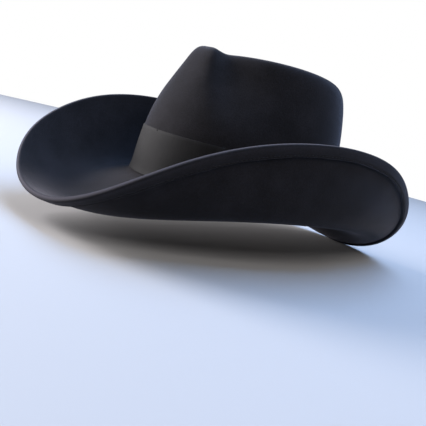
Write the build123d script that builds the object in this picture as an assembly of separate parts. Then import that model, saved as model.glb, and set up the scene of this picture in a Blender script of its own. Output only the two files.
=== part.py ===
from build123d import *
import math
import os

# Cowboy hat, millimetres.  +Z is up, the front of the hat is -Y and the wearer's left is +X.
# The origin is the centre of the head opening, level with the line where crown meets brim.
#
# The felt is one smooth sheet.  For each heading round the hat (0 at the front, 90 at the wearer's
# left, 180 at the back) a clamped cubic B-spline runs from the brim edge, across the brim, up the
# crown and over its rim down to the bottom of the crease in the top.  Its control points are
# simple formulas of the heading.  Every other piece is placed from that sheet.

# ---- head opening and felt ----
OPENING_HALF_LENGTH = 101.0
OPENING_HALF_WIDTH = 84.0
FELT = 2.2
WELT_WIDTH = 10.0
WELT_THICKNESS = 4.5

# ---- brim edge, seen from above ----
BRIM_HALF_LENGTH = 200.5
BRIM_HALF_WIDTH = 135.5
EDGE_X3 = 9.8
EDGE_X5 = 3.5
EDGE_Y3 = 4.8

# ---- brim edge height: mean, front-to-back tilt, side curl and its finer shape ----
EDGE_RISE = 24.3
EDGE_TILT = 7.5
EDGE_CURL = -47.7
EDGE_Z3 = 1.5
EDGE_Z4 = -4.1
EDGE_Z6 = -0.7

# ---- brim between the crown and the edge ----
TURN_IN, TURN_IN_SIDES = 13.0, 10.8
TURN_DROP, TURN_DROP_TILT, TURN_DROP_SIDES = 31.8, 1.9, -28.2
SAG_PLACE = 0.53
SAG, SAG_TILT, SAG_SIDES = -15.6, -1.3, -12.7
BREAK_REACH = 16.0
BREAK_DIP, BREAK_DIP_SIDES = -1.4, -2.2
BREAK_FILLET = 1.5
WALL_START = 11.0

# ---- crown ----
CROWN_HEIGHT = 117.1
CROWN_TILT = 2.1
CROWN_SADDLE = -3.5
NOSE_RISE, NOSE_SPREAD = 4.2, 22.4
TAPER, TAPER_TILT, TAPER_SIDES, TAPER_POWER = 16.4, 7.8, 6.0, 1.33
WALL_BULGE = 4.1
NOSE_EDGE, NOSE_FLARE, NOSE_FLATNESS, RIDGE_ROUNDING = 19.8, 34.5, 4.0, 0.15
DENT_DEPTH, DENT_START, DENT_RUN, DENT_SPREAD = 17.0, 0.36, 19.5, 31.2
WALL_LEVELS = (0.22, 0.40, 0.57, 0.73, 0.88)
RIM_LIFT, RIM_REACH, RIM_SOFTENING, RIM_BACK_DROP = 3.7, 11.5, 5.4, 8.5
CREASE_DEPTH, CREASE_HALF_LENGTH, CREASE_SHIFT = 24.0, 48.0, 2.0

# ---- ribbon band and bow: distances outwards from the felt or from the head opening's oval ----
BAND_LOW, BAND_HIGH = 4.0, 43.7
BAND_GAP, RIBBON = 0.3, 0.7
BOW_LOW, BOW_HIGH = 5.2, 42.7
BOW_HEADING, BOW_HALF_SPAN = 90.0, 18.5
BOW_BACK, BOW_FRONT, BOW_PINCH, LOOP_END = 4.0, 8.4, 6.4, 0.6
KNOT_HALF_SPAN, KNOT_RIBBON, KNOT_GAP, KNOT_MARGIN = 4.2, 0.6, 0.25, 0.8
TACK_HEADINGS = (0, 45, 135, 180, 225, 270, 315)
TACK_LENGTH, TACK_RADIUS, TACK_STAND = 3.2, 0.25, 1.55

# ---- sweatband, reed and lining: depths inwards from the felt's outer face ----
SWEAT_LOW, SWEAT_HIGH = 1.2, 55.0
SWEAT_OUTSIDE, SWEAT_INSIDE = 3.9, 5.1
REED_RADIUS, REED_DEPTH, REED_HEIGHT = 0.9, 4.1, -1.2
TAPE, TAPE_RADIUS, TAPE_TOP, TAPE_FRONT_DEPTH = 0.3, 1.3, 10.0, 3.35
THREAD_RADIUS, THREAD_GAP = 0.25, 0.15
SEAM_HEIGHT = 4.2
LINING_DEPTH, LINING, LINING_LOW = 2.9, 0.4, 14.0
TIP_SEAM_HEIGHT, TIP_SEAM_GAP = 86.0, 0.5
PIPING_RADIUS, PIPING_DEPTH = 0.8, 4.2
INNER_BOW_HEADING, INNER_BOW_BACK, INNER_BOW_FRONT = 180.0, -4.9, -6.4
INNER_BOW_LOW, INNER_BOW_HIGH, INNER_BOW_HALF_SPAN = 14.0, 23.0, 9.0
INNER_KNOT_HALF_SPAN, INNER_KNOT_HALF_HEIGHT, INNER_KNOT_STAND = 1.8, 2.6, 0.6
WELT_SEAM = 8.5

# ---- how finely the sheets are sampled ----
FELT_STEPS = 64
TRIM_STEPS = 48
LINING_STEPS = 52
HEADING_CROWDING = 0.13
STRAIGHT_WALL = 12.0
LAST_T = 13
CROWN_FOOT_T, CROWN_TOP_T = 3.0, 10.5
TURN_STEP = 0.05


def control_rows(heading):
    """Control points of the felt's outer face at one heading, from the brim edge to the crease."""
    a = math.radians(heading)
    s, c = math.sin(a), math.cos(a)
    c2 = math.cos(2 * a)
    foot = (OPENING_HALF_WIDTH * s, -OPENING_HALF_LENGTH * c)
    edge_x = BRIM_HALF_WIDTH * s + EDGE_X3 * math.sin(3 * a) + EDGE_X5 * math.sin(5 * a)
    edge_y = -BRIM_HALF_LENGTH * c + EDGE_Y3 * math.cos(3 * a)
    edge_z = (EDGE_RISE + EDGE_TILT * c + EDGE_CURL * c2 + EDGE_Z3 * math.cos(3 * a)
              + EDGE_Z4 * math.cos(4 * a) + EDGE_Z6 * math.cos(6 * a))
    width = math.hypot(edge_x - foot[0], edge_y - foot[1])
    out = ((edge_x - foot[0]) / width, (edge_y - foot[1]) / width)

    def brim(reach, z):
        return (foot[0] + out[0] * reach, foot[1] + out[1] * reach, z)

    turn_z = edge_z - (TURN_DROP + TURN_DROP_TILT * c + TURN_DROP_SIDES * c2)
    rows = [
        (edge_x, edge_y, edge_z),
        brim(width - TURN_IN - TURN_IN_SIDES * c2, turn_z),
        brim(width * SAG_PLACE, SAG + SAG_TILT * c + SAG_SIDES * c2),
        brim(BREAK_REACH, BREAK_DIP + BREAK_DIP_SIDES * c2),
        brim(BREAK_FILLET, 0.0),
    ]

    # The crown's lines run inwards to a short crease line on the hat's middle plane.
    crease_y = CREASE_SHIFT - CREASE_HALF_LENGTH * c
    length = math.hypot(foot[0], foot[1] - crease_y)
    inward = (-foot[0] / length, (crease_y - foot[1]) / length)
    turn = abs((heading + 180) % 360 - 180)
    rim_z = (CROWN_HEIGHT + CROWN_TILT * c + CROWN_SADDLE * c2
             + NOSE_RISE * math.exp(-(turn / NOSE_SPREAD) ** 4))
    taper = TAPER + TAPER_TILT * c + TAPER_SIDES * c2

    def crown(reach, z):
        return (foot[0] + inward[0] * reach, foot[1] + inward[1] * reach, z)

    def wall_reach(level):
        rise = min(max((level - DENT_START) / (1 - DENT_START), 0), 1)
        run = (math.hypot(turn, NOSE_FLATNESS) - NOSE_EDGE - NOSE_FLARE * (1 - level)) / DENT_RUN
        front = math.sin(math.pi / 2 * min((run + math.hypot(run, RIDGE_ROUNDING)) / 2, 1))
        rear = math.exp(-(max(run - 1, 0) * DENT_RUN / DENT_SPREAD) ** 2)
        dent = DENT_DEPTH * front * rear * rise * rise * (3 - 2 * rise)
        return taper * level ** TAPER_POWER + dent - WALL_BULGE * math.sin(math.pi * level)

    rows.append(crown(0.0, WALL_START))
    rows += [crown(wall_reach(level), level * rim_z) for level in WALL_LEVELS]
    top = wall_reach(1.0)
    back = ((1 - c) / 2) ** 2
    floor_z = CROWN_HEIGHT - CREASE_DEPTH + RIM_LIFT * c
    rows.append(crown(top + 0.6 + 0.3 * RIM_SOFTENING * back, rim_z + RIM_LIFT - RIM_BACK_DROP * back))
    rows.append(crown(top + RIM_REACH + RIM_SOFTENING * back, rim_z + 2.5))
    rows.append(crown(top + 0.5 * (length - top) + 4, rim_z - 7))
    rows.append(crown(top + 0.8 * (length - top), floor_z))
    rows.append((0.0, crease_y, floor_z))
    return rows


def spline_point(rows, t):
    """Point of a clamped uniform cubic B-spline, t from 0 to the number of spans (de Boor)."""
    spans = len(rows) - 3
    t = min(max(t, 0.0), float(spans))
    k = min(int(t), spans - 1) + 3
    knot = [0.0] * 3 + [float(i) for i in range(spans + 1)] + [float(spans)] * 3
    d = [rows[i] for i in range(k - 3, k + 1)]
    for r in range(1, 4):
        for j in range(3, r - 1, -1):
            low, high = knot[j + k - 3], knot[j + 1 + k - r]
            f = (t - low) / (high - low)
            d[j] = tuple((1 - f) * p + f * q for p, q in zip(d[j - 1], d[j]))
    return d[3]


rows_at = {}


def felt_point(heading, t):
    """Point of the felt's outer face."""
    key = round(heading, 6)
    if key not in rows_at:
        rows_at[key] = control_rows(heading)
    return Vector(*spline_point(rows_at[key], t))


def felt_normal(heading, t):
    """Unit normal of the felt's outer face, away from the head."""
    step = 1e-3
    t = min(max(t, step), LAST_T - 0.02)
    along = felt_point(heading, t + step) - felt_point(heading, t - step)
    across = felt_point(heading + TURN_STEP, t) - felt_point(heading - TURN_STEP, t)
    return across.cross(along).normalized()


def on_middle(heading, point):
    """Puts the points of the front and back lines exactly on the hat's middle plane."""
    if heading in (0.0, 180.0):
        return Vector(0.0, point.Y, point.Z)
    return point


def felt_offset(heading, t, depth):
    """Point at a depth under the felt's outer face, towards the head."""
    point = felt_point(heading, t)
    if t >= LAST_T:
        return Vector(0.0, point.Y, point.Z - depth)
    return on_middle(heading, point - felt_normal(heading, t) * depth)


def t_at_height(heading, z):
    """Spline parameter where the crown wall passes a height."""
    low, high = CROWN_FOOT_T, CROWN_TOP_T
    for _ in range(28):
        middle = (low + high) / 2
        if felt_point(heading, middle).Z < z:
            low = middle
        else:
            high = middle
    return (low + high) / 2


def t_from_edge(heading, distance):
    """Spline parameter at a distance measured along the brim from its edge."""
    t, gone, step = 0.0, 0.0, 0.004
    last = felt_point(heading, t)
    while True:
        point = felt_point(heading, t + step)
        gap = (point - last).length
        if gone + gap >= distance:
            return t + step * (distance - gone) / gap
        t, gone, last = t + step, gone + gap, point


def wall_point(heading, z, depth):
    """Point level with z, at a horizontal depth inside the crown wall's outer face.  Below the
    straight part of the wall it drops plumb, clear of the fillet where the brim starts."""
    level = max(z, STRAIGHT_WALL)
    here = felt_point(heading, t_at_height(heading, level))
    ahead = felt_point(heading + TURN_STEP, t_at_height(heading + TURN_STEP, level))
    behind = felt_point(heading - TURN_STEP, t_at_height(heading - TURN_STEP, level))
    along = (ahead - behind).normalized()
    point = here - Vector(along.Y, -along.X, 0.0) * depth
    return on_middle(heading, Vector(point.X, point.Y, z))


def plan_point(heading, distance, z=0.0):
    """Point at a distance outside the oval of the head opening."""
    a = math.radians(heading)
    x, y = OPENING_HALF_WIDTH * math.sin(a), -OPENING_HALF_LENGTH * math.cos(a)
    nx, ny = OPENING_HALF_LENGTH * math.sin(a), -OPENING_HALF_WIDTH * math.cos(a)
    size = math.hypot(nx, ny)
    return Vector(x + nx / size * distance, y + ny / size * distance, z)


def half_face(place, samples, steps):
    """Smooth face over headings 0 to 180 through place(heading, v) for v from 0 to 1.  Its sections
    crowd towards the middle plane, where the face meets its mirror image."""
    headings = [0.0]
    for i in range(1, steps):
        share = i / steps
        headings.append(180.0 * (share - HEADING_CROWDING * math.sin(2 * math.pi * share)))
    headings.append(180.0)
    grid = []
    for heading in headings:
        grid.append([place(heading, j / (samples - 1)) for j in range(samples)])
    return Face.make_surface_from_array_of_points(grid, tol=0.003, min_deg=3, max_deg=3)


def long_edge(face, point):
    """The edge of a half face that passes closest to a point."""
    return min(face.edges(), key=lambda edge: edge.distance_to(Vertex(point.X, point.Y, point.Z)))


def ribbon(face_a, point_a, face_b, point_b):
    """Ruled strip between an edge of one half face and an edge of another."""
    edge_a, edge_b = long_edge(face_a, point_a), long_edge(face_b, point_b)
    if (edge_a @ 0 - edge_b @ 0).length > (edge_a @ 0 - edge_b @ 1).length:
        edge_b = edge_b.reversed()
    return Face.make_surface_from_curves(edge_a, edge_b)


def whole(half_faces):
    """Closed solid from the faces of the +X half and their mirror images."""
    return Solid(Shell(half_faces + [face.mirror(Plane.YZ) for face in half_faces]))


def layer(outer, inner, samples, open_end=True, steps=TRIM_STEPS):
    """Sheet between two smooth faces.  Its v = 1 end is a rim, or closes on the middle plane."""
    outside = half_face(outer, samples, steps)
    inside = half_face(inner, samples, steps)
    faces = [outside, inside, ribbon(outside, outer(90.0, 0.0), inside, inner(90.0, 0.0))]
    if open_end:
        faces.append(ribbon(outside, outer(90.0, 1.0), inside, inner(90.0, 1.0)))
    return whole(faces)


def cord_ring(centre, radius, samples=17, steps=TRIM_STEPS):
    """Round cord along a closed line centre(heading)."""
    def place(heading, v):
        along = (centre(heading + TURN_STEP) - centre(heading - TURN_STEP)).normalized()
        side = Vector(0, 0, 1).cross(along).normalized()
        up = along.cross(side)
        angle = 2 * math.pi * v
        ring = side * (radius * math.cos(angle)) + up * (radius * math.sin(angle))
        return on_middle(heading, centre(heading) + ring)
    return whole([half_face(place, samples, steps)])


def plan_block(heading, half_span, near, far, low, high):
    """Block that follows the oval between two distances and two heights."""
    def arc(distance):
        return ThreePointArc(*[plan_point(heading + turn, distance, low)
                               for turn in (-half_span, 0, half_span)])
    near_arc, far_arc = arc(near), arc(far)
    sides = [Line(near_arc @ end, far_arc @ end) for end in (0, 1)]
    return extrude(make_face([near_arc, far_arc] + sides), amount=high - low, dir=(0, 0, 1))


# ---- felt ----
def felt_body():
    """Crown and brim in one blocked sheet, its edge turned under and stitched flat as a welt."""
    def welt(heading, v):
        return felt_offset(heading, t_from_edge(heading, WELT_WIDTH) * v, WELT_THICKNESS)

    def inner_face(heading, v):
        start = t_from_edge(heading, WELT_WIDTH)
        return felt_offset(heading, start + (LAST_T - start) * v, FELT)

    def outer_face(heading, v):
        return felt_offset(heading, LAST_T * v, 0.0)

    outside = half_face(outer_face, 131, FELT_STEPS)
    under_welt = half_face(welt, 9, FELT_STEPS)
    inside = half_face(inner_face, 121, FELT_STEPS)
    return whole([
        outside,
        under_welt,
        inside,
        ribbon(outside, outer_face(90.0, 0.0), under_welt, welt(90.0, 0.0)),
        ribbon(under_welt, welt(90.0, 1.0), inside, inner_face(90.0, 0.0)),
    ])


def welt_stitching():
    """Thread that holds the turned-under edge, lying on the welt."""
    depth = WELT_THICKNESS + THREAD_GAP + THREAD_RADIUS
    return cord_ring(lambda h: felt_offset(h, t_from_edge(h, WELT_SEAM), depth), THREAD_RADIUS, samples=9,
                     steps=FELT_STEPS)


# ---- ribbon ----
def hat_band():
    """Grosgrain ribbon round the foot of the crown."""
    def face(depth):
        def place(heading, v):
            z = BAND_LOW + (BAND_HIGH - BAND_LOW) * v
            return felt_offset(heading, t_at_height(heading, z), depth)
        return place
    return layer(face(-BAND_GAP - RIBBON), face(-BAND_GAP), 24)


def band_bow():
    """Ribbon folded into two flat loops, pinched in the middle."""
    def front(turn):
        clear = KNOT_HALF_SPAN + KNOT_MARGIN
        along = min(max((abs(turn) - clear) / (BOW_HALF_SPAN - clear), 0.0), 1.0)
        return BOW_PINCH + (BOW_FRONT - BOW_PINCH) * math.sin(math.pi * along) ** 2

    def outline(first, last, inset, count):
        turns = [first + (last - first) * i / count for i in range(count + 1)]
        back = [plan_point(BOW_HEADING + turn, BOW_BACK + inset, BOW_LOW) for turn in turns]
        face = [plan_point(BOW_HEADING + turn, front(turn) - inset, BOW_LOW) for turn in turns]
        ends = [Line(back[0], face[0]), Line(back[-1], face[-1])]
        return make_face([Spline(*back), Spline(*face)] + ends)

    height = BOW_HIGH - BOW_LOW
    body = extrude(outline(-BOW_HALF_SPAN, BOW_HALF_SPAN, 0.0, 24), amount=height, dir=(0, 0, 1))
    margin = KNOT_HALF_SPAN * 1.1
    for side in (-1, 1):
        hollow = outline(side * margin, side * (BOW_HALF_SPAN - LOOP_END), RIBBON, 12)
        body -= extrude(hollow, amount=height, dir=(0, 0, 1))
    return body


def bow_knot():
    """Short ribbon wrapped round the bow's middle."""
    near, far = BOW_BACK - KNOT_GAP, BOW_PINCH + 2 * KNOT_GAP
    low, high = BOW_LOW - KNOT_GAP, BOW_HIGH + KNOT_GAP
    outer = plan_block(BOW_HEADING, KNOT_HALF_SPAN, near - KNOT_RIBBON, far + KNOT_RIBBON,
                       low - KNOT_RIBBON, high + KNOT_RIBBON)
    return outer - plan_block(BOW_HEADING, KNOT_HALF_SPAN + 1, near, far, low, high)


def band_tacks():
    """Short upright stitches over the band's top edge."""
    tacks = []
    for heading in TACK_HEADINGS:
        foot = wall_point(heading, BAND_HIGH - TACK_LENGTH / 2, -TACK_STAND)
        tacks.append(Pos(foot.X, foot.Y, foot.Z) * Cylinder(TACK_RADIUS, TACK_LENGTH))
    return Compound(tacks)


# ---- inside the crown ----
def sweatband():
    """Leather strip that stands inside the head opening."""
    def face(depth):
        return lambda h, v: wall_point(h, SWEAT_LOW + (SWEAT_HIGH - SWEAT_LOW) * v, depth)
    return layer(face(SWEAT_OUTSIDE), face(SWEAT_INSIDE), 20)


def sweatband_reed():
    """Round cord in the fold of the reed tape."""
    return cord_ring(lambda h: wall_point(h, REED_HEIGHT, REED_DEPTH), REED_RADIUS)


def tape_path():
    """Section line of the reed tape as (depth, z): down behind the leather, round the reed and up."""
    back = REED_DEPTH - TAPE_RADIUS
    controls = [(back, TAPE_TOP, 0), (back, 6.0, 0), (back, 1.0, 0)]
    for degrees in (160, 215, 270, 325, 20, 62):
        a = math.radians(degrees)
        r = TAPE_RADIUS * 1.13
        controls.append((REED_DEPTH + r * math.cos(a), REED_HEIGHT + r * math.sin(a), 0))
    controls += [(TAPE_FRONT_DEPTH + 0.1, 0.6, 0), (TAPE_FRONT_DEPTH, 2.5, 0)]
    controls += [(TAPE_FRONT_DEPTH, 6.0, 0), (TAPE_FRONT_DEPTH, TAPE_TOP, 0)]
    return controls


def reed_tape():
    """Woven tape folded round the reed, both edges up behind the leather."""
    controls = tape_path()
    spans = len(controls) - 3

    def face(side):
        def place(heading, v):
            t, step = spans * v, 1e-3
            ahead = spline_point(controls, min(t + step, spans))
            behind = spline_point(controls, max(t - step, 0))
            here = spline_point(controls, t)
            run = math.hypot(ahead[0] - behind[0], ahead[1] - behind[1])
            depth = here[0] + side * TAPE / 2 * (ahead[1] - behind[1]) / run
            z = here[1] - side * TAPE / 2 * (ahead[0] - behind[0]) / run
            return wall_point(heading, z, depth)
        return place
    return layer(face(1), face(-1), 61)


def sweatband_stitching():
    """Seam that joins the leather to the reed tape, lying on the leather."""
    depth = SWEAT_INSIDE + THREAD_GAP + THREAD_RADIUS
    return cord_ring(lambda h: wall_point(h, SEAM_HEIGHT, depth), THREAD_RADIUS, samples=9)


def sweatband_bow():
    """Small ribbon bow over the leather's joint at the back."""
    middle = (INNER_BOW_LOW + INNER_BOW_HIGH) / 2
    loops = plan_block(INNER_BOW_HEADING, INNER_BOW_HALF_SPAN, INNER_BOW_BACK, INNER_BOW_FRONT,
                       INNER_BOW_LOW, INNER_BOW_HIGH)
    knot = plan_block(INNER_BOW_HEADING, INNER_KNOT_HALF_SPAN, INNER_BOW_BACK,
                      INNER_BOW_FRONT - INNER_KNOT_STAND,
                      middle - INNER_KNOT_HALF_HEIGHT, middle + INNER_KNOT_HALF_HEIGHT)
    return loops + knot


def lining_side():
    """Satin strip up the crown wall, its foot tucked behind the sweatband."""
    def face(depth):
        def place(heading, v):
            z = LINING_LOW + (TIP_SEAM_HEIGHT - TIP_SEAM_GAP - LINING_LOW) * v
            return felt_offset(heading, t_at_height(heading, z), depth)
        return place
    return layer(face(LINING_DEPTH), face(LINING_DEPTH + LINING), 36, steps=LINING_STEPS)


def lining_tip():
    """Satin top panel, following the crease."""
    def face(depth):
        def place(heading, v):
            start = t_at_height(heading, TIP_SEAM_HEIGHT + TIP_SEAM_GAP)
            return felt_offset(heading, start + (LAST_T - start) * v, depth)
        return place
    return layer(face(LINING_DEPTH), face(LINING_DEPTH + LINING), 56, open_end=False, steps=LINING_STEPS)


def lining_piping():
    """Cord in the seam between the lining's side and tip."""
    def centre(heading):
        return felt_offset(heading, t_at_height(heading, TIP_SEAM_HEIGHT), PIPING_DEPTH)
    return cord_ring(centre, PIPING_RADIUS)


makers = (felt_body, welt_stitching, hat_band, band_bow, bow_knot, band_tacks, sweatband, sweatband_reed,
          reed_tape, sweatband_stitching, sweatband_bow, lining_side, lining_tip, lining_piping)

os.makedirs("parts", exist_ok=True)
for make in makers:
    export_step(make(), f"parts/{make.__name__}.step")
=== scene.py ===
import math

import bpy
import numpy as np
from mathutils import Matrix, Vector


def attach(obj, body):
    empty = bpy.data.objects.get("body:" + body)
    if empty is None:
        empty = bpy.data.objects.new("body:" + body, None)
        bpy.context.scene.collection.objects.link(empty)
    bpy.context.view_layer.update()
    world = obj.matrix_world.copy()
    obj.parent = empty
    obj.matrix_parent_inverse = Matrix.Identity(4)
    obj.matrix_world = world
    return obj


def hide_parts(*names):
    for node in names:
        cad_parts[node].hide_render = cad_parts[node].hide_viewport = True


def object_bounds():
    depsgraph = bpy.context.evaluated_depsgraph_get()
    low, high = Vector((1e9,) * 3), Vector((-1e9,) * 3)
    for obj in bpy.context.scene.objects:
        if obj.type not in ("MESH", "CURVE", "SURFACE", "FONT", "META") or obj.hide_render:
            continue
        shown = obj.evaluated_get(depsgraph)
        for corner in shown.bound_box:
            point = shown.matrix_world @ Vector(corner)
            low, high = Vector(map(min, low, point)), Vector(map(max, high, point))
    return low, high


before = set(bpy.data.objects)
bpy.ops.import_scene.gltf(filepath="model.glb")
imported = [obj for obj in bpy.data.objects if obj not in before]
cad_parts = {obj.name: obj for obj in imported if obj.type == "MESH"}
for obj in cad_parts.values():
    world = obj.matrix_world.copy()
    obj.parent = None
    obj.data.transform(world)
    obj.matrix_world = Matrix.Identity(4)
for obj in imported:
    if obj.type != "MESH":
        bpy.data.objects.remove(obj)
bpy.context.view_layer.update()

# Cowboy hat.  Shapes are worked out in millimetres in the frame's axes (+Z up, front of the hat -Y,
# wearer's left +X) and turned into metres when a mesh is made.
MM = 0.001
ROOT = "root"

# ---- head opening and felt ----
OPENING_HALF_LENGTH, OPENING_HALF_WIDTH = 101.0, 84.0
FELT, WELT_WIDTH, WELT_THICKNESS, WELT_SEAM, WELT_END = 2.2, 10.0, 4.5, 8.5, 14.0
EDGE_ROUND, EDGE_SQUARENESS = 2.0, 0.62
WELT_ROWS = (EDGE_ROUND, 2.6, 3.4, 4.4, 5.6, 6.6, 7.4, 7.9, 8.2, 8.4, 8.5, 8.6, 8.8, 9.1, 9.6)

# ---- brim edge, seen from above, and its height ----
BRIM_HALF_LENGTH, BRIM_HALF_WIDTH = 200.5, 135.5
EDGE_X3, EDGE_X5, EDGE_Y3 = 9.8, 3.5, 4.8
EDGE_RISE, EDGE_TILT, EDGE_CURL = 24.3, 7.5, -47.7
EDGE_Z3, EDGE_Z4, EDGE_Z6 = 1.5, -4.1, -0.7

# ---- brim between the crown and the edge ----
TURN_IN, TURN_IN_SIDES = 13.0, 10.8
TURN_DROP, TURN_DROP_TILT, TURN_DROP_SIDES = 31.8, 1.9, -28.2
SAG_PLACE, SAG, SAG_TILT, SAG_SIDES = 0.53, -15.6, -1.3, -12.7
BREAK_REACH, BREAK_DIP, BREAK_DIP_SIDES, BREAK_FILLET = 16.0, -1.4, -2.2, 1.5
WALL_START = 11.0

# ---- crown ----
CROWN_HEIGHT, CROWN_TILT, CROWN_SADDLE = 117.1, 2.1, -3.5
NOSE_RISE, NOSE_SPREAD = 4.2, 22.4
TAPER, TAPER_TILT, TAPER_SIDES, TAPER_POWER, WALL_BULGE = 16.4, 7.8, 6.0, 1.33, 4.1
NOSE_EDGE, NOSE_FLARE, NOSE_FLATNESS, RIDGE_ROUNDING = 19.8, 34.5, 4.0, 0.15
DENT_DEPTH, DENT_START, DENT_RUN, DENT_SPREAD = 17.0, 0.36, 19.5, 31.2
WALL_LEVELS = (0.22, 0.40, 0.57, 0.73, 0.88)
RIM_LIFT, RIM_REACH, RIM_SOFTENING, RIM_BACK_DROP = 3.7, 11.5, 5.4, 8.5
CREASE_DEPTH, CREASE_HALF_LENGTH, CREASE_SHIFT = 24.0, 48.0, 2.0

# ---- ribbon, leather and lining: z levels, and depths inwards from the felt's outer face ----
BAND_LOW, BAND_HIGH, BAND_GAP, BAND_RADIUS = 4.0, 43.7, 0.3, 94.0
RIBBON, RIB_PITCH, RIB_PROFILE = 0.5, 0.75, (0.0, 0.75, 1.0, 0.75)
LAP_START, LAP_END, LAP_LIFT, LAP_RAMP = 77.0, 103.0, 0.62, 4.0
BOW_HEADING, BOW_LOW, BOW_HIGH = 90.0, 5.2, 42.7
TACK_HEADINGS, TACK_HALF_GAP = (0.0, 45.0, 135.0, 180.0, 225.0, 270.0, 315.0), 0.35
SWEAT_LOW, SWEAT_HIGH, SWEAT_OUTSIDE, SWEAT_INSIDE = 1.2, 55.0, 3.9, 5.1
SWEAT_SEAM, SWEAT_CREASE, BACK = 4.2, 52.4, 180.0
INNER_BOW_LEVEL, INNER_BOW_HALF_WIDTH, INNER_BOW_RIBBON = 18.5, 4.2, 0.25
REED_RADIUS, REED_DEPTH, REED_HEIGHT = 0.9, 4.1, -1.2
TAPE, TAPE_RADIUS, TAPE_TOP, TAPE_FRONT_DEPTH = 0.3, 1.3, 10.0, 3.35
LINING_DEPTH, LINING, LINING_LOW = 2.85, 0.35, 14.0
TIP_SEAM_HEIGHT, TIP_SEAM_GAP, PIPING_RADIUS, PIPING_DEPTH = 86.0, 0.4, 0.8, 4.1
STRAIGHT_WALL = 12.0
SPANS = 13

# ---- thread: radius of a stitch, its pitch, and the share of the pitch that shows ----
WELT_THREAD, WELT_PITCH, WELT_SHOWS = 0.26, 3.4, 0.72
SEAM_THREAD, SEAM_PITCH, SEAM_SHOWS = 0.26, 3.0, 0.74
TACK_THREAD = 0.13


# ============================== the felt sheet ==============================

def control_rows(heading):
    """Control points (16, n, 3) of the felt's outer face at headings in degrees, edge to crease."""
    a = np.radians(heading)
    s, c, c2, c3 = np.sin(a), np.cos(a), np.cos(2 * a), np.cos(3 * a)
    zero = np.zeros_like(a)
    foot = np.stack([OPENING_HALF_WIDTH * s, -OPENING_HALF_LENGTH * c, zero], 1)
    edge = np.stack([
        BRIM_HALF_WIDTH * s + EDGE_X3 * np.sin(3 * a) + EDGE_X5 * np.sin(5 * a),
        -BRIM_HALF_LENGTH * c + EDGE_Y3 * c3,
        EDGE_RISE + EDGE_TILT * c + EDGE_CURL * c2 + EDGE_Z3 * c3 + EDGE_Z4 * np.cos(4 * a)
        + EDGE_Z6 * np.cos(6 * a)], 1)
    width = np.hypot(edge[:, 0] - foot[:, 0], edge[:, 1] - foot[:, 1])
    out = (edge - foot) * [1, 1, 0] / width[:, None]

    def brim(reach, z):
        return foot + out * (reach + zero)[:, None] + np.stack([zero, zero, z + zero], 1)

    turn_z = edge[:, 2] - (TURN_DROP + TURN_DROP_TILT * c + TURN_DROP_SIDES * c2)
    rows = [edge,
            brim(width - TURN_IN - TURN_IN_SIDES * c2, turn_z),
            brim(width * SAG_PLACE, SAG + SAG_TILT * c + SAG_SIDES * c2),
            brim(BREAK_REACH, BREAK_DIP + BREAK_DIP_SIDES * c2),
            brim(BREAK_FILLET, 0.0)]

    crease = np.stack([zero, CREASE_SHIFT - CREASE_HALF_LENGTH * c, zero], 1)
    length = np.hypot(*(foot - crease)[:, :2].T)
    inward = (crease - foot) / length[:, None]
    turn = np.abs((heading + 180) % 360 - 180)
    rim_z = (CROWN_HEIGHT + CROWN_TILT * c + CROWN_SADDLE * c2
             + NOSE_RISE * np.exp(-(turn / NOSE_SPREAD) ** 4))
    taper = TAPER + TAPER_TILT * c + TAPER_SIDES * c2

    def crown(reach, z):
        return foot + inward * (reach + zero)[:, None] + np.stack([zero, zero, z + zero], 1)

    def wall_reach(level):
        rise = min(max((level - DENT_START) / (1 - DENT_START), 0), 1)
        run = (np.hypot(turn, NOSE_FLATNESS) - NOSE_EDGE - NOSE_FLARE * (1 - level)) / DENT_RUN
        front = np.sin(math.pi / 2 * np.minimum((run + np.hypot(run, RIDGE_ROUNDING)) / 2, 1))
        rear = np.exp(-(np.maximum(run - 1, 0) * DENT_RUN / DENT_SPREAD) ** 2)
        dent = DENT_DEPTH * front * rear * rise * rise * (3 - 2 * rise)
        return taper * level ** TAPER_POWER + dent - WALL_BULGE * math.sin(math.pi * level)

    rows.append(crown(0.0, WALL_START))
    rows += [crown(wall_reach(level), level * rim_z) for level in WALL_LEVELS]
    top = wall_reach(1.0)
    back = ((1 - c) / 2) ** 2
    floor_z = CROWN_HEIGHT - CREASE_DEPTH + RIM_LIFT * c
    rows.append(crown(top + 0.6 + 0.3 * RIM_SOFTENING * back, rim_z + RIM_LIFT - RIM_BACK_DROP * back))
    rows.append(crown(top + RIM_REACH + RIM_SOFTENING * back, rim_z + 2.5))
    rows.append(crown(top + 0.5 * (length - top) + 4, rim_z - 7))
    rows.append(crown(top + 0.8 * (length - top), floor_z))
    rows.append(crease + np.stack([zero, zero, floor_z], 1))
    return np.stack(rows)


def spline(rows, t):
    """Points of clamped uniform cubic B-splines, one per column of rows, at parameters t (..., n)."""
    spans = rows.shape[0] - 3
    t = np.clip(t, 0.0, spans)
    k = np.minimum(t.astype(int), spans - 1)
    column = np.arange(rows.shape[1])
    d = [rows[k + j, column] for j in range(4)]
    for r in range(1, 4):
        for j in range(3, r - 1, -1):
            low = np.clip(k + j - 3, 0, spans)
            high = np.clip(k + j + 1 - r, 0, spans)
            f = ((t - low) / (high - low))[..., None]
            d[j] = (1 - f) * d[j - 1] + f * d[j]
    return d[3]


def unit(v):
    return v / np.linalg.norm(v, axis=-1, keepdims=True)


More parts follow.
